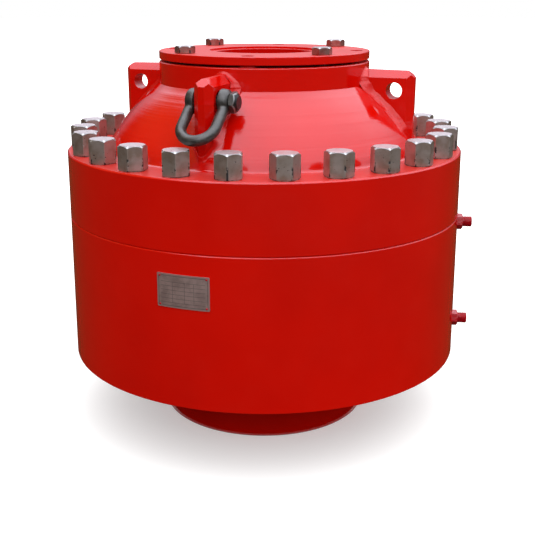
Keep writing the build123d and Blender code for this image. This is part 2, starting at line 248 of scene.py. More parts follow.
# %% Shared groups
peel_group, given, result = new_group(
    "orange peel", [("Height", "Float", 0.0), ("Peel", "Float", 1.0), ("Grain", "Float", 1.0)],
    [("Normal", "Vector")],
)
place = object_place(peel_group)
soft_skin = times(peel_group, cloud(peel_group, place, 210.0, 2.0), given["Peel"])
slow_waves = times(peel_group, cloud(peel_group, place, 26.0, 2.0), given["Grain"])
skin_normal = bump(peel_group, soft_skin, 0.00004)
skin_normal = bump(peel_group, slow_waves, 0.00025, normal=skin_normal)
feed(peel_group, result["Normal"], bump(peel_group, given["Height"], 0.001, normal=skin_normal))

stain_group, given, result = new_group(
    "oily patches", [("Scale", "Float", 20.0), ("Clean", "Color", None), ("Stained", "Color", None)],
    [("Color", "Color")],
)
place = object_place(stain_group)
patch = ramp(stain_group, cloud(stain_group, place, given["Scale"], 4.0, 0.6), 0.38, 0.66)
feed(stain_group, result["Color"], blend(stain_group, patch, given["Clean"], given["Stained"]))
print("shared groups", [g.name for g in bpy.data.node_groups])

# %% [markdown]
# ## Red enamel
# The red is deep on upright walls and turns pink where the surface faces up and mirrors the sky.
# Pink paint on the upper faces would look wrong from every other side, so the change has to come from
# the gloss, and the colour itself varies only a little. Level faces are the exception: they hold
# dust, which is paler and duller. The dome was turned on a lathe before it was painted, and its
# grooves still show through as rings that break up the reflections. Welds were ground by hand, so
# their paint is lumpy. The fittings and the rivets were painted in a darker batch.

# %% Red enamel
enamel_red = {"fresh": (0.66, 0.0032, 0.0006), "deep": (0.59, 0.0025, 0.0005)}
darker_red = {"fresh": (0.48, 0.003, 0.011), "deep": (0.36, 0.002, 0.008)}
dusty_red = (0.62, 0.09, 0.07)


def lathe_grooves(tree, where, depth):
    """The height of rings about the bore, fine ones over coarse ones, on the dome alone."""
    fine = cloud(tree, where, 1.0, 3.0, 0.75, stretch=(1.2, 1.2, 190.0))
    coarse = cloud(tree, where, 1.0, 2.0, 0.5, stretch=(0.8, 0.8, 42.0))
    height = times(tree, maths(tree, "ADD", times(tree, fine, 0.35), coarse), depth)
    level = node(tree, "SeparateXYZ", Vector=where).outputs["Z"]
    above_flange = ramp(tree, level, flange_top + 4 * MM, flange_top + 30 * MM)
    below_neck = ramp(tree, level, neck_base - 2 * MM, neck_base - 20 * MM)
    return times(tree, height, times(tree, above_flange, below_neck))


def enamel(name, fresh, deep, lumpy):
    """Glossy paint over turned steel, or lumpy paint over steel that was ground by hand."""
    made, tree, shader = new_material(name, 0.0, IOR=1.5)
    where = object_place(tree)
    broad = ramp(tree, cloud(tree, where, 2.6, 3.0), 0.3, 0.7)
    colour = blend(tree, broad, deep, fresh)
    normal = node(tree, "TexCoord").outputs["Normal"]
    level_face = ramp(tree, node(tree, "SeparateXYZ", Vector=normal).outputs["Z"], 0.97, 0.995)
    thin_dust = ramp(tree, cloud(tree, where, 9.0, 6.0, 0.7), 0.4, 0.85, 0.0, 0.02)
    dust = maths(tree, "ADD", thin_dust, times(tree, level_face, 0.28))
    colour = blend(tree, dust, colour, dusty_red)
    smoothest, roughest = (0.18, 0.34) if lumpy else (0.05, 0.11)
    gloss = ramp(tree, cloud(tree, where, 6.0, 5.0, 0.65), 0.3, 0.75, smoothest, roughest)
    rough = maths(tree, "ADD", gloss, times(tree, level_face, 0.27))
    if lumpy:
        height = times(tree, cloud(tree, where, 75.0, 3.0, 0.6), 1.8)
    else:
        height = lathe_grooves(tree, where, 1.3)
    skin = use_group(tree, peel_group, Height=height, Peel=1.0, Grain=1.6 if lumpy else 1.0)
    feed_all(tree, shader, Base_Color=colour, Roughness=rough, Normal=skin["Normal"])
    return made


turned_enamel = enamel("red enamel on turned steel", lumpy=False, **enamel_red)
weld_enamel = enamel("red enamel on welds", lumpy=True, **enamel_red)
small_enamel = enamel("dark red enamel on small parts", lumpy=True, **darker_red)
print("enamels", turned_enamel.name, weld_enamel.name, small_enamel.name)

# %% [markdown]
# ## Screw steel
# The heads are plain milled steel, handled and a little oily, so they mirror their surroundings
# softly. The turned cone at the top is brighter, the corners are worn light, and wrenches have left
# dark nicks along them. A texture could be painted for one head, but then all would be alike. Instead
# each head carries its own coordinates in an attribute, which place the wear at its corners however
# it was tightened, while the noise in it runs on object coordinates and so differs on every head.

# %% Where a screw is worn and dirty
screw_height, bolt_height = 72 * MM, 22.5 * MM


def own_place(tree):
    """The coordinates that a piece had before it was moved and turned to its place."""
    own = node(tree, "Attribute", {"attribute_name": "own_place"}).outputs["Vector"]
    return node(tree, "SeparateXYZ", Vector=own).outputs


def from_corner(tree, own):
    """The angle about a hexagon's axis from its nearest corner."""
    return maths(tree, "PINGPONG", maths(tree, "ARCTAN2", own["Y"], own["X"]), math.radians(30))


def screw_dirt_and_shade(tree, where, own, corner, uneven, height):
    """The dark places: nicks low on the corners, a few pits, and painted shade all round the foot."""
    share = maths(tree, "DIVIDE", own["Z"], height)
    # A nick is a corner, at the right height, where a coarse noise happens to be high.
    chance = ramp(tree, cloud(tree, where, 62.0, 2.0, 0.5, move=(3.1, 1.7, 0.4)), 0.5, 0.54)
    at_corner = ramp(tree, corner, 0.1, 0.05)
    low_down = ramp(tree, share, 0.58, 0.46)
    nick = times(tree, times(tree, chance, at_corner), low_down)
    pit = ramp(tree, cloud(tree, where, 150.0, 1.0, 0.5, move=(9.0, 2.0, 5.0)), 0.74, 0.755)
    # The foot is painted dark all round, as the shade where the head stands on the flange.
    foot = times(tree, ramp(tree, share, 0.06, 0.02), ramp(tree, uneven, 0.35, 0.6, 0.3, 1.0))
    return maths(tree, "MAXIMUM", maths(tree, "MAXIMUM", nick, pit), times(tree, foot, 0.8))


print("screw heads", round(screw_height / MM), "mm tall, bolt heads", round(bolt_height / MM, 1), "mm")

# %% Screw steel


def screw_steel(name, height, dull, clean, stained):
    """Milled steel whose wear follows the hexagon's own coordinates."""
    made, tree, shader = new_material(name, 0.8)
    where, own = object_place(tree), own_place(tree)
    corner = from_corner(tree, own)
    uneven = cloud(tree, where, 70.0, 3.0, 0.6)
    wavy_corner = maths(tree, "ADD", corner, times(tree, uneven, 0.05))
    normal = node(tree, "NewGeometry").outputs["Normal"]
    facing_up = node(tree, "SeparateXYZ", Vector=normal).outputs["Z"]
    cone = times(tree, ramp(tree, facing_up, 0.5, 0.7), ramp(tree, facing_up, 0.95, 0.85))
    patches = use_group(tree, stain_group, Scale=26.0, Clean=clean, Stained=stained)
    speckle = ramp(tree, cloud(tree, where, 420.0, 4.0, 0.7), 0.35, 0.75)
    colour = blend(tree, times(tree, speckle, 0.35), patches["Color"], (0.42, 0.385, 0.36))
    # Painted shade: the cone is painted darker near the corners, which tones down its reflection there.
    near_corner = ramp(tree, wavy_corner, 0.16, 0.03)
    colour = blend(tree, cone, colour, blend(tree, near_corner, (0.2, 0.196, 0.192), (0.42, 0.415, 0.41)))
    # Painted highlight: the flat top, which faces the sky, is painted lighter and pinker.
    colour = blend(tree, ramp(tree, facing_up, 0.93, 0.98), colour, (0.52, 0.46, 0.465))
    worn = times(tree, ramp(tree, wavy_corner, 0.075, 0.045), 0.12)
    colour = blend(tree, worn, colour, (0.55, 0.53, 0.51))
    # Nicks and pits are dirt, and the dark foot is painted shade. All of them take one dark colour.
    dark = screw_dirt_and_shade(tree, where, own, corner, uneven, height)
    colour = blend(tree, dark, colour, (0.012, 0.011, 0.012))
    rough = ramp(tree, uneven, 0.3, 0.7, dull, dull + 0.14)
    rough = maths(tree, "SUBTRACT", rough, times(tree, cone, 0.16))
    rough = maths(tree, "ADD", rough, times(tree, dark, 0.3))
    metal = maths(tree, "SUBTRACT", 0.8, times(tree, dark, 0.7))
    grain = maths(tree, "SUBTRACT", cloud(tree, where, 260.0, 4.0, 0.7), times(tree, dark, 3.0))
    normal = bump(tree, grain, 0.00025)
    feed_all(tree, shader, Base_Color=colour, Roughness=rough, Metallic=metal, Normal=normal)
    return made


head_screw_steel = screw_steel(
    "milled screw steel", screw_height, dull=0.36, clean=(0.45, 0.395, 0.365), stained=(0.33, 0.26, 0.21))
# The bolts' reddish tone is a painted reflection of the red cover round them.
cover_bolt_steel = screw_steel(
    "milled bolt steel", bolt_height, dull=0.28, clean=(0.42, 0.20, 0.175), stained=(0.36, 0.075, 0.06))
print("screw steels", head_screw_steel.name, cover_bolt_steel.name)

# %% [markdown]
# ## Forged steel
# The shackle is forged and heat-treated, so it is nearly black, slightly scaly, and polished where it
# has been dragged about. One recipe serves both pieces. On the pin, the head's end is painted darker,
# as shade, inside a rim that is painted light as a highlight. A plain distance from the axis would make
# that rim round, so the distance is measured square to the nearest flat, which gives it six sides.

# %% Forged steel


def pin_end(tree, colour, rubs_and_rim_highlight):
    """Paints shade on the end of the pin's head, and a highlight on the rim round it."""
    own = own_place(tree)
    corner = from_corner(tree, own)
    squares = [maths(tree, "POWER", own[axis], 2.0) for axis in "XY"]
    reach = maths(tree, "SQRT", maths(tree, "ADD", *squares))
    square_to_flat = maths(tree, "COSINE", maths(tree, "SUBTRACT", math.radians(30), corner))
    from_axis = times(tree, reach, square_to_flat)
    normal = node(tree, "TexCoord").outputs["Normal"]
    painted_shade_end = ramp(tree, node(tree, "SeparateXYZ", Vector=normal).outputs["X"], 0.5, 0.7)
    # The end is painted dark as shade, and its rim light as a painted highlight.
    colour = blend(tree, painted_shade_end, colour, (0.03, 0.031, 0.031))
    rim = times(tree, ramp(tree, from_axis, 23.5 * MM, 25.5 * MM), painted_shade_end)
    return colour, maths(tree, "MAXIMUM", rubs_and_rim_highlight, times(tree, rim, 0.9))


def black_steel(name, is_pin):
    """Forged and heat-treated steel, scaly and rubbed bright in places."""
    made, tree, shader = new_material(name, 0.75)
    where = object_place(tree)
    scaly = ramp(tree, cloud(tree, where, 60.0, 5.0, 0.65), 0.35, 0.7)
    colour = blend(tree, scaly, (0.068, 0.066, 0.062), (0.108, 0.106, 0.101))
    rubs_and_rim_highlight = ramp(tree, cloud(tree, where, 130.0, 5.0, 0.75), 0.66, 0.78, 0.0, 0.8)
    if is_pin:
        colour, rubs_and_rim_highlight = pin_end(tree, colour, rubs_and_rim_highlight)
    colour = blend(tree, rubs_and_rim_highlight, colour, (0.3, 0.305, 0.3))
    rough = ramp(tree, scaly, 0.0, 1.0, 0.34, 0.46)
    normal = bump(tree, cloud(tree, where, 240.0, 5.0, 0.7), 0.0004)
    feed_all(tree, shader, Base_Color=colour, Roughness=rough, Normal=normal)
    return made


forged = black_steel("forged black steel", is_pin=False)
forged_pin = black_steel("forged pin steel", is_pin=True)
print("forged steels", forged.name, forged_pin.name)

# %% [markdown]
# ## What is inside
# Through the bore you can see moulded rubber, with the piston and its ring behind it, and a gasket
# shows as a dark line under the cover. They lie in shade, so a few lines are enough for each: rubber
# that is never quite black, steel with the rings that a lathe leaves, and the gasket's steel painted
# nearly black with patches, as the shade in the gap.

# %% Rubber and turned steel
rubber, tree, shader = new_material("moulded packing rubber", 0.0, IOR=1.5)
where = object_place(tree)
colour = blend(tree, cloud(tree, where, 30.0), (0.018, 0.018, 0.019), (0.035, 0.034, 0.033))
rough = ramp(tree, cloud(tree, where, 50.0), 0.3, 0.7, 0.5, 0.68)
normal = bump(tree, cloud(tree, where, 500.0, 3.0), 0.0002)
feed_all(tree, shader, Base_Color=colour, Roughness=rough, Normal=normal)

turned_steel, tree, shader = new_material("turned bright steel", 1.0)
oil = use_group(tree, stain_group, Scale=9.0, Clean=(0.5, 0.49, 0.47), Stained=(0.34, 0.32, 0.29))
grooves = cloud(tree, object_place(tree), 1.0, 3.0, 0.7, stretch=(2.0, 2.0, 900.0))
rough, normal = ramp(tree, grooves, 0.3, 0.7, 0.2, 0.36), bump(tree, grooves, 0.00012)
feed_all(tree, shader, Base_Color=oil["Color"], Roughness=rough, Normal=normal)

# The gasket is painted nearly black, as the shade in the gap under the cover.
gasket_shade_steel, tree, shader = new_material("gasket steel in painted shade", 1.0)
where = object_place(tree)
oil = use_group(tree, stain_group, Scale=14.0, Clean=(0.07, 0.062, 0.055), Stained=(0.03, 0.026, 0.023))
rough = ramp(tree, cloud(tree, where, 60.0), 0.3, 0.7, 0.4, 0.6)
normal = bump(tree, cloud(tree, where, 300.0, 3.0), 0.0001)
feed_all(tree, shader, Base_Color=oil["Color"], Roughness=rough, Normal=normal)
print("inner finishes", rubber.name, turned_steel.name, gasket_shade_steel.name)

# %% [markdown]
# ## Nameplate metal
# The nameplate is thin brushed metal with a printed table. An image could carry the table, but drawn
# with arithmetic it stays sharp at any distance: a line is a mask round a place, measured in the
# plate's own coordinates.

# %% Nameplate metal
plate_metal, tree, shader = new_material("brushed nameplate", 0.8)
own = own_place(tree)
across, upright = (maths(tree, "ABSOLUTE", own[axis]) for axis in "XY")
border_across, border_up, border_wide, rule_wide = 74.5 * MM, 43.5 * MM, 1.6 * MM, 1.1 * MM


def line_at(value, place, width):
    """A mask that is 1 at a place, and 0 from half a width away."""
    away = maths(tree, "ABSOLUTE", maths(tree, "SUBTRACT", value, place))
    return ramp(tree, away, 0.5 * width, 0.35 * width)


def up_to(value, end):
    """A mask that is 1 up to a place, with a millimetre to fade out."""
    return ramp(tree, value, end + 0.5 * MM, end - 0.5 * MM)


upright_sides = times(tree, line_at(across, border_across, border_wide), up_to(upright, 44 * MM))
level_sides = times(tree, line_at(upright, border_up, border_wide), up_to(across, 75 * MM))
lines = maths(tree, "MAXIMUM", upright_sides, level_sides)
for row in (26, 14, 2, -10, -22, -34):
    ruled = times(tree, line_at(own["Y"], row * MM, rule_wide), up_to(across, 68 * MM))
    lines = maths(tree, "MAXIMUM", lines, ruled)
from_middle = maths(tree, "ABSOLUTE", maths(tree, "ADD", own["Y"], 4 * MM))
for column in (-31, 6, 34):
    ruled = times(tree, line_at(own["X"], column * MM, rule_wide), up_to(from_middle, 30.5 * MM))
    lines = maths(tree, "MAXIMUM", lines, ruled)
print("table lines drawn on", plate_metal.name)

# %% Nameplate colour
oil = use_group(tree, stain_group, Scale=34.0, Clean=(0.68, 0.525, 0.525), Stained=(0.50, 0.375, 0.37))
past_side, past_end = ramp(tree, across, 75.8 * MM, 76.6 * MM), ramp(tree, upright, 44.8 * MM, 45.6 * MM)
margin = maths(tree, "MAXIMUM", past_side, past_end)
colour = blend(tree, margin, oil["Color"], (0.64, 0.47, 0.48))
colour = blend(tree, times(tree, lines, 0.75), colour, (0.09, 0.07, 0.065))
brushed = cloud(tree, object_place(tree), 1.0, 4.0, 0.7, stretch=(30.0, 30.0, 900.0))
rough, normal = ramp(tree, brushed, 0.3, 0.7, 0.34, 0.5), bump(tree, brushed, 0.00008)
feed_all(tree, shader, Base_Color=colour, Roughness=rough, Normal=normal)
print("materials", len(bpy.data.materials))

# %% [markdown]
# ## Finishing a piece
# Every piece ends in the same way: a mesh with its faces outwards, an object at the origin, smooth
# shading that stops at real edges, and a word to the frame on what it rides on and which CAD nodes it
# stands for. The weighted normals keep large flat faces flat next to their small rounded edges.

# %% Helpers for a finished piece


def verts_in(geom):
    """The vertices among what an operator gave back."""
    return [g for g in geom if isinstance(g, bmesh.types.BMVert)]


def edges_in(geom):
    """The edges among what an operator gave back."""
    return [g for g in geom if isinstance(g, bmesh.types.BMEdge)]


def mesh_of(bm, name):
    """Turns a bmesh into a mesh with its faces outwards, and frees it."""
    bmesh.ops.recalc_face_normals(bm, faces=bm.faces[:])
    mesh = bpy.data.meshes.new(name)
    bm.to_mesh(mesh)
    bm.free()
    return mesh


def new_piece(mesh, name, material):
    """An object at the origin with this mesh and finish."""
    piece = bpy.data.objects.new(name, mesh)
    mesh.materials.clear()
    mesh.materials.append(material)
    bpy.context.scene.collection.objects.link(piece)
    return piece


def keep_own_place(mesh):
    """Stores where each vertex is, for the materials, before the mesh is moved or bent."""
    own = mesh.attributes.new("own_place", "FLOAT_VECTOR", "POINT")
    for vert, slot in zip(mesh.vertices, own.data):
        slot.vector = vert.co


def settle(piece, body, replaced, angle=38.0, weigh=True):
    """Shades a finished piece, and says what it rides on and which CAD nodes it stands for."""
    for face in piece.data.polygons:
        face.use_smooth = True
    piece.data.set_sharp_from_angle(angle=math.radians(angle))
    if weigh:
        flat = piece.modifiers.new("flat faces stay flat", "WEIGHTED_NORMAL")
        flat.keep_sharp, flat.weight = True, 80
    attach(piece, body)
    if replaced:
        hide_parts(*replaced)
    print(piece.name, len(piece.data.polygons), "faces")


print("helpers for a finished piece ready")

# %% [markdown]
# ## Turning
# Most of this vessel is turned, so most pieces are a profile spun about the bore. They could be
# stacked from cylinders and cones, but one profile leaves no hidden faces, and each of its corners
# can have the radius that its edge really has. A perfectly sharp edge catches no light.

# %% Helpers for profiles


def draw_profile(bm, corners):
    """A closed outline in the XZ plane. A corner is (reach, level) or (reach, level, edge radius)."""
    verts = [bm.verts.new((c[0], 0, c[1])) for c in corners]
    for first, second in zip(verts, verts[1:] + verts[:1]):
        bm.edges.new((first, second))


def corner_at(bm, corner):
    """The vertex at a corner. Some operators rebuild the mesh, so it is found again by its place."""
    place = Vector((corner[0], 0, corner[1]))
    return min(bm.verts, key=lambda vert: (vert.co - place).length_squared)


def bow_out(bm, first, second, centre, radius, cuts):
    """Turns the straight run between two corners into an arc about a centre, given as reach and level."""
    run = bm.edges.get((corner_at(bm, first), corner_at(bm, second)))
    made = bmesh.ops.bisect_edges(bm, edges=[run], cuts=cuts)
    middle = Vector((centre[0], 0, centre[1]))
    for vert in verts_in(made["geom_split"]):
        vert.co = middle + (vert.co - middle).normalized() * radius


def round_corners(bm, corners):
    """Rounds each corner that has a radius."""
    for corner in corners:
        if len(corner) > 2:
            bmesh.ops.bevel(bm, geom=[corner_at(bm, corner)], offset=corner[2], offset_type="OFFSET",
                            segments=3, profile=0.5, affect="VERTICES", material=-1)


print("helpers for profiles ready")

# %% Helpers for spinning
SPIN_STEPS = 288


def spin_round(bm, steps, axis):
    """Spins everything in the bmesh a full turn."""
    bmesh.ops.spin(bm, geom=bm.verts[:] + bm.edges[:], cent=(0, 0, 0), axis=axis, dvec=(0, 0, 0),
                   angle=math.tau, steps=steps, use_merge=True)
    bmesh.ops.remove_doubles(bm, verts=bm.verts[:], dist=1e-6)


def turned_mesh(name, corners, arcs=(), steps=SPIN_STEPS):
    """A turned mesh from its closed profile, with some of its runs bowed out and its corners rounded."""
    bm = bmesh.new()
    draw_profile(bm, corners)
    for first, second, centre, radius, cuts in arcs:
        bow_out(bm, corners[first], corners[second], centre, radius, cuts)
    round_corners(bm, corners)
    spin_round(bm, steps, (0, 0, 1))
    return mesh_of(bm, name)


def spun_solid(points, steps, axis=(0, 0, 1)):
    """A turned bmesh from an open outline whose two ends lie on the axis."""
    bm = bmesh.new()
    verts = [bm.verts.new(point) for point in points]
    for first, second in zip(verts, verts[1:]):
        bm.edges.new((first, second))
    spin_round(bm, steps, axis)
    return bm


print("spin steps", SPIN_STEPS)

# %% [markdown]
# ## Cutting
# Holes are cut after the turning, with one joined cutter, which is what a drill does. The exact
# solver is slower than the fast one, but it leaves clean rims on forgings with hundreds of sides.

# %% Helpers for cutting


def drill(bm, place, direction, radius, length, steps=32):
    """Adds a cutter that starts at a place and runs along a direction."""
    turn = Vector((0, 0, 1)).rotation_difference(Vector(direction)).to_matrix().to_4x4()
    middle = Vector(place) + Vector(direction).normalized() * (length / 2)
    bmesh.ops.create_cone(bm, cap_ends=True, segments=steps, radius1=radius, radius2=radius, depth=length,
                          matrix=Matrix.Translation(middle) @ turn)


def bake(piece):
    """Makes the modified shape the piece's own mesh."""
    bpy.context.view_layer.update()
    graph = bpy.context.evaluated_depsgraph_get()
    baked = bpy.data.meshes.new_from_object(piece.evaluated_get(graph))
    piece.modifiers.clear()
    spare, piece.data = piece.data, baked
    baked.name = piece.name
    bpy.data.meshes.remove(spare)


def carve(piece, cutter_bm, operation="DIFFERENCE"):
    """Cuts a piece with the solids in a bmesh, and keeps the result as the piece's own mesh."""
    cutter = bpy.data.objects.new("cutter", mesh_of(cutter_bm, "cutter"))
    bpy.context.scene.collection.objects.link(cutter)
    step = piece.modifiers.new("carve", "BOOLEAN")
    step.operation, step.solver, step.object = operation, "EXACT", cutter
    bake(piece)
    bpy.data.objects.remove(cutter)


def soften(piece, width, angle):
    """Bevels every edge that turns by more than an angle in degrees."""
    soft = piece.modifiers.new("soft edges", "BEVEL")
    soft.width, soft.segments = width, 2
    soft.limit_method, soft.angle_limit = "ANGLE", math.radians(angle)
    bake(piece)


def polar(angle, reach, level=0.0):
    """A point at an angle in degrees about the bore."""
    return Vector((reach * math.cos(math.radians(angle)), reach * math.sin(math.radians(angle)), level))


print("helpers for cutting ready")

# %% [markdown]
# ## Lower housing
# One forging: the bottom flange with its ring groove and sixteen holes, the hub, and the big
# cylinder. The eye meets it as a plain drum, so what sells it is the light on its edges, and the
# recess that hides under the drum. The holes for the head's screws are cut too, although the screws
# fill them, because a part that is taken apart has to show them.

# %% Lower housing
corners = [
    (bore, 0, 1.5 * MM), (groove_in, 0), (groove_in, groove_deep), (groove_out, groove_deep), (groove_out, 0),
    (flange_radius - 6 * MM, 0, 1 * MM), (flange_radius, 6 * MM, 1 * MM),
    (flange_radius, flange_thick - 6 * MM, 1 * MM), (flange_radius - 6 * MM, flange_thick, 1 * MM),
    (hub_radius, flange_thick, 6 * MM), (hub_radius, housing_bottom, 6 * MM),
    (body_radius, housing_bottom, 2.5 * MM), (body_radius, parting - 3 * MM, 0.7 * MM),
    (body_radius - 3 * MM, parting, 0.7 * MM), (cylinder_radius, parting), (cylinder_radius, cylinder_floor),
    (mandrel_radius, cylinder_floor), (mandrel_radius, mandrel_top), (bore, mandrel_top),
]
housing = new_piece(turned_mesh("housing", corners), "housing", turned_enamel)
print("housing turned,", len(housing.data.polygons), "faces")

# %% Holes in the lower housing
stud_angles = [11.25 + 22.5 * index for index in range(16)]
screw_angles = [-93.7 + 15 * index for index in range(24)]
port_angle, port_seat = 15.0, body_radius - 2 * MM
port_levels = {"opening_port_fitting": parting - 38 * MM, "closing_port_fitting": housing_bottom + 88 * MM}
stud_hole, screw_hole, spot_face, port_hole = 22.25 * MM, 25.2 * MM, 31 * MM, 16.7 * MM
past = 10 * MM
up, down, outward = (0, 0, 1), (0, 0, -1), polar(port_angle, 1.0)
holes = bmesh.new()
for angle in stud_angles:
    drill(holes, polar(angle, bolt_circle, -past), up, stud_hole, flange_thick + 2 * past, 40)
for angle in screw_angles:
    drill(holes, polar(angle, screw_circle, parting + past), down, screw_hole, 110 * MM)
for level in port_levels.values():
    drill(holes, polar(port_angle, port_seat, level), outward, spot_face, past, 72)
    drill(holes, polar(port_angle, port_seat + 1 * MM, level), -outward, port_hole, 24.5 * MM)
carve(housing, holes)
settle(housing, "preventer", ["lower_housing"])

# %% [markdown]
# ## Head
# The head is the part that keeps the pressure in: a thick bolted flange, a spherical crown, and a
# short neck that ends in a studded face. A sphere could be added and joined, but the crown is only
# one run of the profile, so that run is pushed out to the sphere's radius, and a fillet carries it
# into the flange. Just under the neck the reflections in the photograph run straight, so the last
# stretch of the crown is a cone that leaves the sphere without a corner.

# %% The crown's shape
fillet = 16 * MM
fillet_level = flange_top + fillet
fillet_reach = math.sqrt((dome_radius + fillet) ** 2 - (fillet_level - dome_centre) ** 2)
toe_share = dome_radius / (dome_radius + fillet)
crown_toe = (fillet_reach * toe_share, dome_centre + (fillet_level - dome_centre) * toe_share)
cone_reach = 380 * MM
cone_level = dome_centre + math.sqrt(dome_radius**2 - cone_reach**2)
cone_slope = cone_reach / (cone_level - dome_centre)


def crown_level(away):
    """The level of the crown at a distance from the bore's axis: a sphere, then a cone up to the neck."""
    if away < cone_reach:
        return cone_level + (cone_reach - away) * cone_slope
    return dome_centre + math.sqrt(dome_radius**2 - away**2)


neck_corner = crown_level(neck_radius)
print("the crown meets the neck at", round(neck_corner, 4))

# %% Head
corners = [
    (bore, neck_top, 1.5 * MM), (groove_in, neck_top), (groove_in, neck_top - groove_deep),
    (groove_out, neck_top - groove_deep), (groove_out, neck_top),
    (neck_radius - 3 * MM, neck_top, 0.8 * MM), (neck_radius, neck_top - 3 * MM, 0.8 * MM),
    (neck_radius, neck_corner, 1 * MM), (cone_reach, cone_level), crown_toe, (fillet_reach, flange_top),
    (body_radius - 4 * MM, flange_top, 1 * MM), (body_radius, flange_top - 4 * MM, 1 * MM),
    (body_radius, parting + 3 * MM, 0.7 * MM), (body_radius - 3 * MM, parting, 0.7 * MM),
    (cavity_reach, parting), (bore, throat_low, 3 * MM),
]
# Each arc joins two corners, counted from 0: the crown, its fillet, and the cavity.
arcs = [
    (8, 9, (0, dome_centre), dome_radius, 40), (9, 10, (fillet_reach, fillet_level), fillet, 6),
    (15, 16, (0, cavity_centre), cavity_radius, 24),
]
head = new_piece(turned_mesh("head_forging", corners, arcs), "head_forging", turned_enamel)
screw_clearance, tapped_hole = 26.5 * MM, 18.2 * MM
holes = bmesh.new()
for angle in screw_angles:
    drill(holes, polar(angle, screw_circle, parting - past), up, screw_clearance, 230 * MM)
for angle in stud_angles:
    drill(holes, polar(angle, bolt_circle, neck_top + past), down, tapped_hole, 66.5 * MM)
carve(head, holes)
settle(head, "preventer", ["head"])

# %% [markdown]
# ## Cover plate
# A turned ring lies on the gasket and closes the neck for transport. Four of its holes are bolted
# and four are left open, and its bore has a shallow step. It is made as the forgings are, because a
# plain cylinder would lose the thin bright line along its rim.

# %% Cover plate
cover_bore, step_radius, step_level = 160 * MM, 174.5 * MM, cover_top - 7.5 * MM
cover_hole, first_hole = 20.5 * MM, -78.75
corners = [
    (cover_bore, cover_low), (neck_radius - 2 * MM, cover_low, 0.6 * MM),
    (neck_radius, cover_low + 2 * MM, 0.6 * MM), (neck_radius, cover_top - 2 * MM, 0.6 * MM),
    (neck_radius - 2 * MM, cover_top, 0.6 * MM), (step_radius, cover_top, 1 * MM),
    (step_radius, step_level, 1 * MM), (cover_bore, step_level, 1 * MM),
]
cover = new_piece(turned_mesh("cover_ring", corners), "cover_ring", turned_enamel)
holes = bmesh.new()
for index in range(8):
    drill(holes, polar(first_hole + 45 * index, bolt_circle, cover_low - past), up, cover_hole, 50 * MM, 48)
carve(cover, holes)
settle(cover, "preventer", ["cover_plate"])

# %% [markdown]
# ## Packing element
# Through the bore you can see the rubber that seals on the pipe. It is turned to the inside of the
# crown, with a hollow waist. The waist is one corner with a very large radius, which is simpler than
# a curve of its own.

# %% Packing element
packer_low, packer_high = (corner.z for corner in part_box("packing_element"))
packer_bore, packer_waist, packer_shoulder = 176 * MM, 190 * MM, 197 * MM
packer_sphere = cavity_radius - 0.5 * MM
packer_foot = math.sqrt(packer_sphere**2 - (packer_low - cavity_centre) ** 2)
corners = [
    (packer_bore, packer_low, 3 * MM), (packer_foot, packer_low),
    (packer_shoulder, cavity_centre + math.sqrt(packer_sphere**2 - packer_shoulder**2)),
    (packer_bore, packer_high, 3 * MM), (packer_waist, (packer_low + packer_high) / 2, 60 * MM),
]
arcs = [(1, 2, (0, cavity_centre), packer_sphere, 20)]
packer = new_piece(turned_mesh("packer", corners, arcs, 160), "packer", rubber)
settle(packer, "preventer", ["packing_element"])

# %% [markdown]
# ## Screws and bolts
# A hexagon head is a six-sided bar that was turned to a cone at both ends. Where the flat sides meet
# the cone they leave the scalloped edge that every nut shows. Bevelling the prism's rim can't give
# those scallops, so the shape is made as it is in the shop: a prism, kept only where it overlaps a
# turned blank. One head is made at the origin and copied to every place. How far each one is turned
# is read from the CAD model.

# %% One hexagon head


def hexagon_mesh(name, flats, height, shank_radius, shank_length, crown=0.97):
    """A hexagon head with its seat at the origin, a corner along X and a plain shank below.

    The crown is how wide the head's flat end is, as a share of the flats.
    """
    corner = flats / math.sqrt(3)
    top, foot, wide = crown * flats / 2, 1.03 * flats / 2, corner + 1 * MM
    slope = math.tan(math.radians(40))
    bm = bmesh.new()
    quarter = Matrix.Rotation(math.pi / 2, 4, "Z")
    bmesh.ops.create_circle(bm, cap_ends=True, radius=corner, segments=6, matrix=quarter)
    raised = bmesh.ops.extrude_face_region(bm, geom=bm.faces[:])["geom"]
    bmesh.ops.translate(bm, verts=verts_in(raised), vec=(0, 0, height))
    upright = [e for e in bm.edges if abs(e.verts[0].co.z - e.verts[1].co.z) > height / 2]
    bmesh.ops.bevel(bm, geom=upright, offset=1.1 * MM, segments=3, profile=0.5, affect="EDGES", material=-1)
    piece = new_piece(mesh_of(bm, name), name, head_screw_steel)
    rim = [(0, 0), (foot, 0), (wide, (wide - foot) * slope),
           (wide, height - (wide - top) * slope), (top, height), (0, height)]
    carve(piece, spun_solid([(reach, 0, level) for reach, level in rim], 96), "INTERSECT")
    shank, overlap = bmesh.new(), 2 * MM
    drill(shank, (0, 0, overlap), (0, 0, -1), shank_radius, shank_length + overlap, 48)
    carve(piece, shank, "UNION")
    soften(piece, 0.7 * MM, 32)
    mesh = piece.data
    keep_own_place(mesh)
    bpy.data.objects.remove(piece)
    return mesh


screw_mesh = hexagon_mesh(
    "screw_template", flats=75 * MM, height=screw_height, shank_radius=25 * MM, shank_length=305.5 * MM)
bolt_mesh = hexagon_mesh(
    "bolt_template", flats=55 * MM, height=bolt_height, shank_radius=18 * MM, shank_length=87 * MM)
print("one screw has", len(screw_mesh.polygons), "faces, one bolt", len(bolt_mesh.polygons))

# %% All screws and bolts


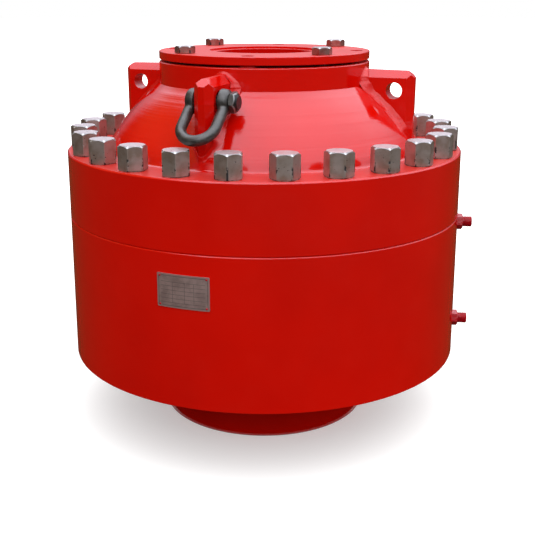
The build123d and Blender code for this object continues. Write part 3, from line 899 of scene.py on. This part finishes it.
def fasten(template, node_name, seat, name, material):
    """Copies a head to its CAD node's place, turned as that node is."""
    low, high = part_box(node_name)
    axis = (low + high) / 2
    rim = [v.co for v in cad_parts[node_name].data.vertices if v.co.z > seat + 4 * MM]
    far = max(rim, key=lambda co: (co - axis).xy.length)
    turn = math.atan2(far.y - axis.y, far.x - axis.x)
    mesh = template.copy()
    mesh.transform(Matrix.Translation((axis.x, axis.y, seat)) @ Matrix.Rotation(turn, 4, "Z"))
    settle(new_piece(mesh, name, material), "preventer", [node_name], angle=30.0)


for number in range(1, 25):
    fasten(screw_mesh, f"head_screw_{number:02d}", flange_top, f"screw_{number:02d}", head_screw_steel)
for number in range(1, 5):
    fasten(bolt_mesh, f"cover_bolt_{number}", cover_top, f"bolt_{number}", cover_bolt_steel)
bpy.data.meshes.remove(screw_mesh)
bpy.data.meshes.remove(bolt_mesh)

# %% [markdown]
# ## Lifting lugs
# Each lug is a steel plate with an eye, and its edges are cut off at a slant. A bevel modifier gives
# all edges one width and blends the corners, but on the real plate the cuts differ and meet in crisp
# creases, so a block is cut by planes instead, one for each slanted face. Its foot and root run into
# the crown and the neck, and the weld covers where they meet.

# %% Lug plate
lug_half, lug_reach, lug_foot, lug_root = 30 * MM, 494.505 * MM, 491.5 * MM, 290 * MM
lug_top, lug_bottom, root_rise = neck_top - 21 * MM, flange_top, 3 * MM
eye_reach, eye_level = 434.005 * MM, 1080 * MM
lug_bevel, corner_cut, end_long, end_tall = 21 * MM, 21 * MM, 23 * MM, 20 * MM


def shave(bm, place, outward):
    """Cuts off what lies beyond a plane, and closes the cut."""
    whole = bm.verts[:] + bm.edges[:] + bm.faces[:]
    cut = bmesh.ops.bisect_plane(bm, geom=whole, plane_co=place, plane_no=outward, clear_outer=True)
    bmesh.ops.edgeloop_fill(bm, edges=edges_in(cut["geom_cut"]))


def lug_plate(name):
    """The plate with its slanted edges and its eye, pointing along X."""
    bm = bmesh.new()
    bmesh.ops.create_cube(bm, size=1.0)
    size = (lug_reach - lug_root, 2 * lug_half, lug_top - lug_bottom)
    middle = ((lug_reach + lug_root) / 2, 0, (lug_top + lug_bottom) / 2)
    bmesh.ops.scale(bm, vec=size, verts=bm.verts[:])
    bmesh.ops.translate(bm, vec=middle, verts=bm.verts[:])
    foot = [v for v in bm.verts if v.co.x > middle[0] and v.co.z < middle[2]]
    root = [v for v in bm.verts if v.co.x < middle[0] and v.co.z > middle[2]]
    bmesh.ops.translate(bm, vec=(lug_foot - lug_reach, 0, 0), verts=foot)
    bmesh.ops.translate(bm, vec=(0, 0, root_rise), verts=root)
    for side in (-1, 1):
        shave(bm, (lug_reach, side * (lug_half - corner_cut), lug_top), (1, side, 0))
        shave(bm, (lug_reach, side * lug_half, lug_top - lug_bevel), (0, side, 1))
    shave(bm, (lug_reach, 0, lug_top - end_tall), (end_tall, 0, end_long))
    piece = new_piece(mesh_of(bm, name), name, turned_enamel)
    eye = bmesh.new()
    drill(eye, (eye_reach, -100 * MM, eye_level), (0, 1, 0), 25 * MM, 200 * MM, 64)
    carve(piece, eye)
    soften(piece, 1.3 * MM, 30)
    return piece


print("lug plate", round((lug_reach - lug_root) / MM), "mm long,", round(2 * lug_half / MM), "mm thick")

# %% [markdown]
# ## Welds
# A lug is welded to the crown and the neck all the way round its root. The welds were laid and ground
# by hand, so they are broad, hollow and a little wavy, and fullest where crown, neck and plate meet.
# A fillet from a boolean would be far too even. Here the bead walks along the joint in stations, and
# at each station it knows the joint, the way out of the crown or neck (its base) and the way out of
# the plate (its wall). Noise then changes the leg from one station to the next.

# %% The weld's way round the plate


def crown_station(reach, across, wall_out):
    """A joint point on the crown, with the way out of the crown and the way out of the plate."""
    away = math.hypot(reach, across)
    slope = cone_slope if away < cone_reach else away / (crown_level(away) - dome_centre)
    out = Vector((reach / away * slope, across / away * slope, 1)).normalized()
    return Vector((reach, across, crown_level(away))), out, Vector(wall_out).normalized()


def neck_station(reach, across, level, tilt):
    """A joint point on the neck, where the plate's side leans over by a tilt in degrees."""
    lean = math.radians(tilt)
    base_out = Vector((reach, across, 0)).normalized()
    return Vector((reach, across, level)), base_out, Vector((0, -math.cos(lean), math.sin(lean)))


def weld_stations():
    """The stations along one side, from the middle of the plate's end up to the middle of its top."""
    end, inner = lug_foot + 1 * MM, lug_half - corner_cut
    stations = [
        crown_station(end, 0, (1, 0, 0)),
        crown_station(end, -0.6 * inner, (1, 0, 0)),
        crown_station(end - 1 * MM, -inner, (1, -0.35, 0)),
        crown_station(end - corner_cut / 2, -lug_half + corner_cut / 2, (1, -1, 0)),
        crown_station(end - corner_cut, -lug_half, (0.35, -1, 0)),
    ]
    neck_reach = math.sqrt(neck_radius**2 - lug_half**2)
    first, last = end - corner_cut - 6 * MM, neck_reach + 10 * MM
    for step in range(25):
        stations.append(crown_station(first + (last - first) * step / 24, -lug_half, (0, -1, 0)))
    low, high = neck_corner + 6 * MM, lug_top + root_rise - lug_bevel
    for step in range(1, 9):
        stations.append(neck_station(neck_reach, -lug_half, low + (high - low) * step / 8, 0))
    for step in range(1, 4):
        across = lug_half - lug_bevel * step / 3
        reach, level = math.sqrt(neck_radius**2 - across**2), high + lug_bevel * step / 3
        stations.append(neck_station(reach, -across, level, 90 * (step - 0.5) / 3))
    stations.append((Vector((neck_radius, 0, high + lug_bevel)), Vector((1, 0, 0)), Vector((0, 0, 1))))
    return stations


print("weld stations on one side", len(weld_stations()))

# %% The weld bead
weld_leg, toe_sink, root_sink = 21 * MM, 1.3 * MM, 3 * MM
bead_hollow, bead_ripple, leg_noise, face_steps = 4.2 * MM, 1.7 * MM, 0.22, 7
end_size = 0.62


def fullness(level):
    """How full the bead is beside the plate: fullest at the neck's corner, and thin at the plate's top."""
    climb = (level - neck_corner) / (lug_top - neck_corner)
    if climb > 0:
        return 1.55 - min(climb, 1.0)
    return 1.0 + 0.55 * max(0.0, 1.0 + 2 * climb)


def bead_ring(bm, index, seed, point, base_out, wall_out):
    """The bead at one station: its root inside the joint, its two toes, and the hollow face between them."""
    # Each station is a step through the noise, and each weld walks along a track of its own.
    walk = Vector((index * 0.29, seed * 7.3, 0))
    size = weld_leg * (end_size if wall_out.x > 0.1 else fullness(point.z))
    leg_base = size * (1.0 + leg_noise * noise.noise(walk))
    leg_wall = size * (1.0 + leg_noise * noise.noise(walk + Vector((0, 40, 0))))
    if wall_out.z > 0.3:
        leg_base = min(leg_base, neck_top - 4 * MM - point.z)
    toe_base = point + wall_out * leg_base
    if base_out.z > 0.1:
        toe_base.z = crown_level(toe_base.xy.length)
    else:
        flat = toe_base.xy.normalized() * neck_radius
        toe_base = Vector((flat.x, flat.y, toe_base.z))
    toe_base -= base_out * toe_sink
    toe_wall = point + base_out * leg_wall - wall_out * toe_sink
    ring = [bm.verts.new(point - base_out * root_sink - wall_out * root_sink), bm.verts.new(toe_base)]
    face_out = (base_out + wall_out).normalized()
    for step in range(1, face_steps):
        share = step / face_steps
        spot = toe_base.lerp(toe_wall, share)
        hollow = -bead_hollow * math.sin(math.pi * share)
        ripple = bead_ripple * math.sin(math.pi * share) * noise.noise(spot * 60 + Vector((seed, 0, 0)))
        ring.append(bm.verts.new(spot + face_out * (hollow + ripple)))
    ring.append(bm.verts.new(toe_wall))
    return [bm.edges.new(pair) for pair in zip(ring, ring[1:] + ring[:1])]


print("weld leg", round(weld_leg * fullness(neck_corner) / MM), "mm at the neck's corner")

# %% Four lugs and their welds


def weld_bead(name, seed):
    """A closed bead all round the joint."""
    bm = bmesh.new()
    near_side = weld_stations()
    mirror = Vector((1, -1, 1))
    far_side = [[vector * mirror for vector in station] for station in reversed(near_side[1:-1])]
    rings = [bead_ring(bm, index, seed, *station) for index, station in enumerate(near_side + far_side)]
    for first, second in zip(rings, rings[1:] + rings[:1]):
        bmesh.ops.bridge_loops(bm, edges=first + second)
    return mesh_of(bm, name)


for index, side_name in enumerate(("front", "right", "rear", "left")):
    turn = Matrix.Rotation(math.radians(-90 + 90 * index), 4, "Z")
    plate = lug_plate(f"lug_plate_{side_name}")
    plate.data.transform(turn)
    settle(plate, "preventer", [f"lifting_lug_{side_name}"], angle=30.0)
    bead_name = f"lug_weld_{side_name}"
    bead = new_piece(weld_bead(bead_name, index + 1), bead_name, weld_enamel)
    fine = bead.modifiers.new("even skin", "SUBSURF")
    fine.levels = fine.render_levels = 2
    bead.data.transform(turn)
    settle(bead, "preventer", None, angle=50.0, weigh=False)

# %% [markdown]
# ## Shackle
# A shackle is forged from one bar: the two eyes swell out of the legs without any edge. Cylinders
# joined by a boolean would show a hard seam there. So the bar is swept as a tube, the eyes are turned
# barrels, and a voxel remesh fuses them into one skin that can be smoothed like hot metal. The jaw
# and the pin hole are machined afterwards, as on the real one. The jaw's cutter is fuller round its
# rim, which leaves the narrow waist where each leg runs into its eye.

# %% The shackle's place
pin_centre = Vector((0, -eye_reach, 1074.3 * MM))
bar, jaw_half, eye_radius, eye_wide, bow_long = 16 * MM, 35 * MM, 37.5 * MM, 33 * MM, 152 * MM
above_screw = 5 * MM
bow_level = flange_top + screw_height + above_screw + bar
lean = math.acos((pin_centre.z - bow_level) / bow_long)
up_axis = Vector((0, math.sin(lean), math.cos(lean)))
out_axis = Vector((0, -math.cos(lean), math.sin(lean)))
shackle_place = Matrix((
    (1, up_axis.x, out_axis.x, pin_centre.x), (0, up_axis.y, out_axis.y, pin_centre.y),
    (0, up_axis.z, out_axis.z, pin_centre.z), (0, 0, 0, 1),
))
print("the shackle leans out by", round(math.degrees(lean), 1), "degrees")

# %% The swept bar
leg_offset = jaw_half + eye_wide / 2
leg_long = bow_long - leg_offset


def run_on(bm, edges, move):
    """Extends an open tube end, and returns its new end."""
    geom = bmesh.ops.extrude_edge_only(bm, edges=edges)["geom"]
    bmesh.ops.translate(bm, vec=move, verts=verts_in(geom))
    return [e for e in edges_in(geom) if all(v in geom for v in e.verts) and len(e.link_faces) == 1]


bm = bmesh.new()
bar_end = Matrix.Translation((-leg_offset, 0, 0)) @ Matrix.Rotation(math.pi / 2, 4, "X")
start = bmesh.ops.create_circle(bm, radius=bar, segments=32, matrix=bar_end)
edges = list({e for v in start["verts"] for e in v.link_edges})
bmesh.ops.contextual_create(bm, geom=edges)
edges = run_on(bm, edges, (0, -leg_long, 0))
swept = bmesh.ops.spin(bm, geom=edges, cent=(0, -leg_long, 0), axis=(0, 0, 1), dvec=(0, 0, 0),
                       angle=math.pi, steps=40)
edges = run_on(bm, edges_in(swept["geom_last"]), (0, leg_long, 0))
bmesh.ops.contextual_create(bm, geom=edges)
print("swept bar", len(bm.faces), "faces")

# %% The eyes, fused to the bar
near, far = jaw_half - 2 * MM, jaw_half + eye_wide
barrel_rim = [
    (near, 0), (near, eye_radius - 1 * MM), (near + 12 * MM, eye_radius),
    (far - 9 * MM, eye_radius - 2.5 * MM), (far - 2 * MM, eye_radius - 10 * MM),
    (far, eye_radius - 17 * MM), (far, 0),
]
for side in (-1, 1):
    barrel_outline = [(side * x, reach, 0) for x, reach in barrel_rim]
    barrel = mesh_of(spun_solid(barrel_outline, 64, axis=(1, 0, 0)), "barrel")
    bm.from_mesh(barrel)
    bpy.data.meshes.remove(barrel)
bow = new_piece(mesh_of(bm, "shackle_forging"), "shackle_forging", forged)
fuse = bow.modifiers.new("fuse", "REMESH")
fuse.mode, fuse.voxel_size = "VOXEL", 1.7 * MM
bake(bow)
bm = bmesh.new()
bm.from_mesh(bow.data)
smoothing_passes = 14
for _ in range(smoothing_passes):
    bmesh.ops.smooth_vert(
        bm, verts=bm.verts[:], factor=0.5, use_axis_x=True, use_axis_y=True, use_axis_z=True)
bm.to_mesh(bow.data)
bm.free()
print("fused forging", len(bow.data.polygons), "faces")

# %% The machined jaw
pin_hole = bmesh.new()
drill(pin_hole, (-100 * MM, 0, 0), (1, 0, 0), 19.3 * MM, 200 * MM, 64)
carve(bow, pin_hole)
# The jaw's cutter, in millimetres: how far from the pin's axis, and half its width there.
jaw_rim = [
    (0, 35), (28, 35), (31, 35.3), (34, 36.4), (36.5, 38.2),
    (38.5, 39), (41, 38.4), (44, 36.6), (47, 35), (50, 33),
]
jaw_outline = [(half * MM, reach * MM, 0) for reach, half in jaw_rim]
jaw_outline += [(-half * MM, reach * MM, 0) for reach, half in jaw_rim[::-1]]
carve(bow, spun_solid(jaw_outline, 96, axis=(1, 0, 0)))
bow.data.transform(shackle_place)
settle(bow, "shackle", ["shackle_bow"], angle=40.0, weigh=False)

# %% [markdown]
# ## Shackle pin
# The pin turns with the bow. Its head is a shallow hexagon that is turned to a wide cone and is nearly
# as wide as the eye. It could be modelled by itself, but the function that made the screws makes it
# too, with a smaller crown.

# %% Shackle pin
pin_half = jaw_half + eye_wide
pin_mesh = hexagon_mesh("pin_template", flats=56 * MM, height=22 * MM, shank_radius=19 * MM,
                        shank_length=2 * pin_half, crown=0.68)
pin_mesh.transform(Matrix.Rotation(math.pi / 2, 4, "Y"))
pin_mesh.transform(Matrix.Translation((pin_half, 0, 0)))
pin_mesh.transform(shackle_place)
pin = new_piece(pin_mesh, "shackle_bolt", forged_pin)
settle(pin, "shackle", ["shackle_pin"], angle=30.0)

# %% [markdown]
# ## Port fittings
# Two short fittings are there for hydraulic hoses. Each is a painted hexagon on a machined spot, with
# an open threaded stub. A real thread is a helix, but at this size nobody can see that it climbs, and
# rings spun with the rest of the profile stay clean.

# %% Port fittings
pitch, crest, root = 3 * MM, 17.5 * MM, 15.9 * MM
stub_rim = [(0, 19 * MM), (root, 19 * MM)]
for ring in range(9):
    base = 23 * MM + pitch * ring
    stub_rim += [(root, base), (crest, base + 0.35 * pitch)]
    stub_rim += [(crest, base + 0.65 * pitch), (root, base + pitch)]
stub_rim += [(root - 1 * MM, 51 * MM), (0, 51 * MM)]
for name, level in port_levels.items():
    fitting_mesh = hexagon_mesh(
        "fitting_template", flats=46 * MM, height=21 * MM, shank_radius=16.5 * MM, shank_length=22 * MM)
    fitting = new_piece(fitting_mesh, name.replace("_fitting", "_union"), small_enamel)
    carve(fitting, spun_solid([(reach, 0, height) for reach, height in stub_rim], 48), "UNION")
    hollow = bmesh.new()
    drill(hollow, (0, 0, -30 * MM), (0, 0, 1), 8.5 * MM, 100 * MM)
    carve(fitting, hollow)
    turn = Vector((0, 0, 1)).rotation_difference(outward).to_matrix().to_4x4()
    fitting.data.transform(Matrix.Translation(polar(port_angle, port_seat, level)) @ turn)
    settle(fitting, "preventer", [name], angle=30.0)

# %% [markdown]
# ## Nameplate
# The plate is thin sheet, rolled to the housing's wall and held by four rivets. A curved plate could
# be cut from a ring, but it is easier to do what the maker does: it is cut flat with rounded corners,
# sliced into strips so that it can bend, and then wrapped round the wall. It names nothing, and its
# table stays empty.

# %% The flat plate and its rivets
plate_low, plate_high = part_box("nameplate")
plate_wide, plate_tall, plate_thick = 160 * MM, plate_high.z - plate_low.z, 2.5 * MM
plate_middle = (plate_low.z + plate_high.z) / 2
rivet_across, rivet_up, rivet_radius = 71.5 * MM, 42 * MM, 3.2 * MM
bm = bmesh.new()
bmesh.ops.create_grid(bm, x_segments=1, y_segments=1, size=0.5)
bmesh.ops.scale(bm, vec=(plate_wide, plate_tall, 1), verts=bm.verts[:])
bmesh.ops.bevel(bm, geom=bm.verts[:], offset=2.5 * MM, segments=3, profile=0.5, affect="VERTICES",
                material=-1)
strip_wide = 5 * MM
for cut in range(-15, 16):
    whole = bm.verts[:] + bm.edges[:] + bm.faces[:]
    bmesh.ops.bisect_plane(bm, geom=whole, plane_co=(cut * strip_wide, 0, 0), plane_no=(1, 0, 0))
raised = bmesh.ops.extrude_face_region(bm, geom=bm.faces[:])["geom"]
bmesh.ops.translate(bm, vec=(0, 0, plate_thick), verts=verts_in(raised))
plate = new_piece(mesh_of(bm, "name_plate"), "name_plate", plate_metal)
bm = bmesh.new()
for x in (-1, 1):
    for y in (-1, 1):
        place = Matrix.Translation((x * rivet_across, y * rivet_up, plate_thick))
        low_dome = place @ Matrix.Diagonal((1, 1, 0.55, 1))
        bmesh.ops.create_uvsphere(bm, u_segments=20, v_segments=12, radius=rivet_radius, matrix=low_dome)
rivets = new_piece(mesh_of(bm, "plate_rivets"), "plate_rivets", small_enamel)
print("flat plate", round(plate_wide / MM), "by", round(plate_tall / MM), "mm")

# %% Wrapping it round the wall
for sheet in (plate, rivets):
    keep_own_place(sheet.data)
    for vert in sheet.data.vertices:
        reach = body_radius + max(vert.co.z, 0.0)
        angle = -math.pi / 2 + vert.co.x / body_radius
        vert.co = (reach * math.cos(angle), reach * math.sin(angle), plate_middle + vert.co.y)
settle(plate, "preventer", ["nameplate"], angle=35.0)
settle(rivets, "preventer", None, angle=60.0, weigh=False)

# %% [markdown]
# ## What stays from the CAD model
# The piston and the adapter ring are plain turned rings deep inside, and the gasket is one that hardly
# shows under the cover. They could be built again, but their shape is right as it is, so they only
# get a better finish, and the gasket's is painted shade.

# %% Carried-over nodes
kept_finishes = {"piston": turned_steel, "adapter_ring": turned_steel, "ring_gasket": gasket_shade_steel}
for name, finish in kept_finishes.items():
    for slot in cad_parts[name].material_slots:
        slot.material = finish
print("carried over", list(kept_finishes))

# %% [markdown]
# ## Floor
# The photograph's background is plain white. A white floor that took full light would throw it back
# up under the drum, so this one is pale only to the rays that show it, to the eye or in a mirror, and
# dark to the rays that light. It keeps the soft shadow. The ground round the real vessel was dark,
# and that is what its walls mirror, so a cloth lies on the floor as a photographer would lay it: a
# flat ring that only reflections can see.

# %% Floor


def shown_rays(tree):
    """1 for the rays that show a surface, directly or mirrored, and 0 for the rays that light."""
    path = node(tree, "LightPath").outputs
    mirrored = maths(tree, "MAXIMUM", path["Is Glossy Ray"], path["Is Transmission Ray"])
    return maths(tree, "MAXIMUM", path["Is Camera Ray"], mirrored)


floor_radius = 40.0
floor_material, tree, shader = new_material("pale floor", 0.0, Roughness=0.9, Specular_IOR_Level=0.0)
shown = shown_rays(tree)
colour = blend(tree, shown, (0.15, 0.15, 0.15), (0.78, 0.78, 0.78))
away = node(tree, "VectorMath", {"operation": "LENGTH"}, Vector=object_place(tree)).outputs["Value"]
glow = ramp(tree, away, 0.7, 3.0, 0.36, 0.9)
glow = times(tree, shown, glow)
feed_all(tree, shader, Base_Color=colour, Emission_Color=(1.0, 1.0, 1.0), Emission_Strength=glow)
bm = bmesh.new()
bmesh.ops.create_circle(bm, cap_ends=True, radius=floor_radius, segments=64)
floor = new_piece(mesh_of(bm, "floor"), "floor", floor_material)
print("floor", floor_radius, "m in radius")

# %% Dark cloth
cloth_inner, cloth_outer = 0.35, 39.0
cloth_material, tree, shader = new_material("dark cloth", 0.0, Roughness=1.0, Specular_IOR_Level=0.0)
paler = ramp(tree, towards(tree, object_place(tree), (0.908, -0.408, 0.0)), 0.5, 3.5)
feed_all(tree, shader, Base_Color=blend(tree, paler, (0.05, 0.03, 0.012), (0.075, 0.055, 0.035)))
bm = bmesh.new()
for radius in (cloth_inner, cloth_outer):
    bmesh.ops.create_circle(bm, radius=radius, segments=64)
bmesh.ops.bridge_loops(bm, edges=bm.edges[:])
bmesh.ops.translate(bm, vec=(0, 0, 4 * MM), verts=bm.verts[:])
cloth = new_piece(mesh_of(bm, "dark_cloth"), "dark_cloth", cloth_material)
cloth.visible_camera = cloth.visible_diffuse = cloth.visible_shadow = False
print("cloth from", cloth_inner, "to", cloth_outer, "m")

# %% [markdown]
# ## World and lamp
# Gloss is only as good as what it mirrors. The photograph was taken under a bright cloudy sky, open
# to the front and the right and darker on the left. Mirrored in the dome, that sky is almost dark at
# the horizon and climbs to its full brightness overhead, so upright walls stay deep red while
# everything that faces up turns pink. A picture of a sky could be wrapped round the scene, but a
# colour ramp over the height gives the same and can be tuned stop by stop. The world says three
# things: white to the camera, the climbing sky to mirrors, and a softer sky to the rays that light.
# One lamp in front fills what the sky leaves too dark.

# %% The mirrored sky
world = bpy.data.worlds.new("cloudy sky")
bpy.context.scene.world = world
world.use_nodes = True
tree = world.node_tree
background = tree.nodes["Background"]
direction = node(tree, "TexCoord").outputs["Generated"]
height = node(tree, "SeparateXYZ", Vector=direction).outputs["Z"]
side = towards(tree, direction, (0.934, 0.356, 0.0))
sky_level = 3.4
clouds = ramp(tree, cloud(tree, direction, 2.2, 3.0, 0.5), 0.25, 0.75, 0.94, 1.06)
climb = node(tree, "ValToRGB", Fac=height)
# Each stop is a height, and the sky's share of its full brightness there.
stops = [
    (0.06, 0.03), (0.16, 0.09), (0.28, 0.15), (0.36, 0.28), (0.5, 0.56), (0.6, 0.7), (0.8, 0.89), (1.0, 1.0),
]
for position, level in stops[2:]:
    climb.color_ramp.elements.new(position)
for stop, (position, level) in zip(climb.color_ramp.elements, stops):
    stop.position, stop.color = position, (level, level, level, 1.0)
mirrored = times(tree, times(tree, climb.outputs["Color"], clouds), sky_level)
open_side = ramp(tree, side, -0.62, -0.42)
mirrored_colour = blend(tree, open_side, (0.16, 0.105, 0.035), (0.95, 0.985, 1.12))
print("sky stops", len(climb.color_ramp.elements))

# %% The sky that lights, and what each ray sees
camera_ray = node(tree, "LightPath").outputs["Is Camera Ray"]
light = ramp(tree, height, 0.15, 0.6, 0.36, 2.05)
light = times(tree, light, ramp(tree, side, -0.8, 0.1, 0.62, 1.0))
shown = shown_rays(tree)
strength = node(tree, "Mix", Factor=shown)
feed(tree, strength.inputs[2], light)
feed(tree, strength.inputs[3], maths(tree, "MAXIMUM", mirrored, camera_ray))
tinted = times(tree, shown, maths(tree, "SUBTRACT", 1.0, camera_ray))
colour = blend(tree, tinted, (1.0, 1.0, 1.0), mirrored_colour)
feed_all(tree, background, Color=colour, Strength=strength.outputs[0])
print("world", world.name)

# %% Lamp


def softbox(name, place, target, size, power):
    """A rectangular lamp that faces its target."""
    lamp = bpy.data.lights.new(name, "AREA")
    lamp.shape, lamp.size, lamp.size_y = "RECTANGLE", size[0], size[1]
    lamp.energy = power
    holder = bpy.data.objects.new(name, lamp)
    holder.location = place
    holder.rotation_euler = (Vector(target) - Vector(place)).to_track_quat("-Z", "Y").to_euler()
    bpy.context.scene.collection.objects.link(holder)


softbox("front fill", place=(1.2, -4.4, 3.0), target=(0, 0, 0.6), size=(2.4, 1.6), power=25)
print("lamps", len(bpy.data.lights))
